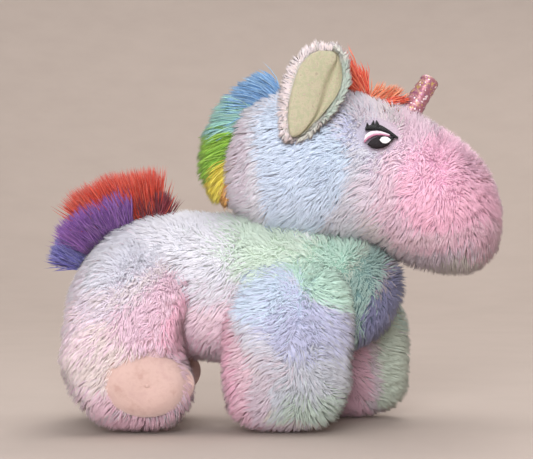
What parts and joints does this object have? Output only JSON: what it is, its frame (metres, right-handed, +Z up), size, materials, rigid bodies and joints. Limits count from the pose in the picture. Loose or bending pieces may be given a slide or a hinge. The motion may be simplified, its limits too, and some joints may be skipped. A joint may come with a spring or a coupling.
{
  "type": "plush unicorn",
  "caption": "Standing stuffed toy animal in long tie-dye pile with a large turning head, blunt glitter horn, floppy lined ears, hair tufts and legs that swing on thread joints.",
  "frame": {"origin": "on the floor under the middle of the toy's outline", "axes": "+X towards the nose, +Y to the animal's left, +Z up"},
  "size_m": [0.2711, 0.1102, 0.2288],
  "materials": {
    "fur_white_lilac": "matte",
    "fur_green": "matte",
    "fur_pink": "matte",
    "fur_blue": "matte",
    "fur_peach": "matte",
    "inner_pink": "matte",
    "velour_peach": "matte",
    "lining_cream": "satin",
    "ear_fur": "matte",
    "stuffing": "matte",
    "thread": "matte",
    "tape": "matte",
    "horn_film": "gloss",
    "tuft_red": "matte",
    "tuft_maroon": "matte",
    "tuft_purple": "matte",
    "tuft_blue": "matte",
    "tuft_violet": "matte",
    "tuft_teal": "matte",
    "tuft_green": "matte",
    "tuft_yellow": "matte",
    "tuft_orange": "matte",
    "thread_black": "satin",
    "thread_wine": "satin",
    "thread_lid": "satin",
    "thread_white": "satin"
  },
  "bodies": {
    "torso": {"torso_stuffing": "stuffing", "side_panel_left": "fur_white_lilac", "side_panel_right": "fur_white_lilac", "belly_gusset": "inner_pink", "closing_stitches": "thread", "joint_thread_front_left": "thread", "joint_thread_front_right": "thread", "joint_thread_hind_left": "thread", "joint_thread_hind_right": "thread"},
    "neck": {"neck_plug": "fur_green"},
    "head": {"head_stuffing": "stuffing", "head_gusset": "fur_pink", "head_panel_left": "fur_blue", "head_panel_right": "fur_blue", "horn_stuffing": "stuffing", "horn_cover": "horn_film", "mane_strip": "tape", "mane_tuft_blue": "tuft_blue", "mane_tuft_teal": "tuft_teal", "mane_tuft_green": "tuft_green", "mane_tuft_yellow": "tuft_yellow", "mane_tuft_orange": "tuft_orange", "forelock_strip": "tape", "forelock_tuft": "tuft_red", "eye_highlight_left": "thread_white", "eye_pupil_left": "thread_wine", "eye_lid_left": "thread_lid", "eye_lashes_left": "thread_black", "eye_highlight_right": "thread_white", "eye_pupil_right": "thread_wine", "eye_lid_right": "thread_lid", "eye_lashes_right": "thread_black"},
    "tail": {"tail_strip": "tape", "tail_tuft_maroon": "tuft_maroon", "tail_tuft_red": "tuft_red", "tail_tuft_purple": "tuft_purple", "tail_tuft_blue": "tuft_violet"},
    "ear_left": {"ear_back_panel_left": "ear_fur", "ear_lining_panel_left": "lining_cream"},
    "front_leg_left": {"front_leg_left_stuffing": "stuffing", "front_leg_left_inner_panel": "inner_pink", "front_leg_left_front_panel": "fur_blue", "front_leg_left_rear_panel": "fur_blue"},
    "hind_leg_left": {"hind_leg_left_stuffing": "stuffing", "hind_leg_left_inner_panel": "inner_pink", "hind_leg_left_foot_pad": "velour_peach", "hind_leg_left_outer_panel": "fur_peach"},
    "ear_right": {"ear_back_panel_right": "ear_fur", "ear_lining_panel_right": "lining_cream"},
    "front_leg_right": {"front_leg_right_stuffing": "stuffing", "front_leg_right_inner_panel": "inner_pink", "front_leg_right_front_panel": "fur_blue", "front_leg_right_rear_panel": "fur_blue"},
    "hind_leg_right": {"hind_leg_right_stuffing": "stuffing", "hind_leg_right_inner_panel": "inner_pink", "hind_leg_right_foot_pad": "velour_peach", "hind_leg_right_outer_panel": "fur_peach"}
  },
  "joints": [
    {"name": "head_turn", "type": "hinge", "parent": "torso", "child": "neck", "pos_m": [0.014, 0, 0.11], "axis": [0, 0, 1], "range_deg": [-20, 20], "stiffness_Nm_per_rad": 2},
    {"name": "head_nod", "type": "hinge", "parent": "neck", "child": "head", "pos_m": [0.014, 0, 0.128], "axis": [0, 1, 0], "range_deg": [-7, 8], "stiffness_Nm_per_rad": 4},
    {"name": "front_leg_right_swing", "type": "hinge", "parent": "torso", "child": "front_leg_right", "pos_m": [0.006, -0.0385, 0.07], "axis": [0, -1, 0], "range_deg": [-5, 20], "stiffness_Nm_per_rad": 1.5},
    {"name": "front_leg_left_swing", "type": "hinge", "parent": "torso", "child": "front_leg_left", "pos_m": [0.026, 0.0385, 0.07], "axis": [0, -1, 0], "range_deg": [-20, 12], "stiffness_Nm_per_rad": 1.5},
    {"name": "hind_leg_right_swing", "type": "hinge", "parent": "torso", "child": "hind_leg_right", "pos_m": [-0.084, -0.0385, 0.085], "axis": [0, -1, 0], "range_deg": [-10, 5], "stiffness_Nm_per_rad": 1.5},
    {"name": "hind_leg_left_swing", "type": "hinge", "parent": "torso", "child": "hind_leg_left", "pos_m": [-0.084, 0.0385, 0.085], "axis": [0, -1, 0], "range_deg": [-10, 15], "stiffness_Nm_per_rad": 1.5},
    {"name": "ear_right_flop", "type": "hinge", "parent": "head", "child": "ear_right", "pos_m": [0.02, -0.0445, 0.179], "axis": [1, 0, 0], "range_deg": [-5, 40], "stiffness_Nm_per_rad": 0.15},
    {"name": "ear_left_flop", "type": "hinge", "parent": "head", "child": "ear_left", "pos_m": [0.02, 0.0445, 0.179], "axis": [-1, 0, 0], "range_deg": [-5, 40], "stiffness_Nm_per_rad": 0.15},
    {"name": "tail_flop", "type": "hinge", "parent": "torso", "child": "tail", "pos_m": [-0.1038, 0, 0.1218], "axis": [-0.891, 0, -0.454], "range_deg": [-20, 20], "stiffness_Nm_per_rad": 0.3}
  ]
}
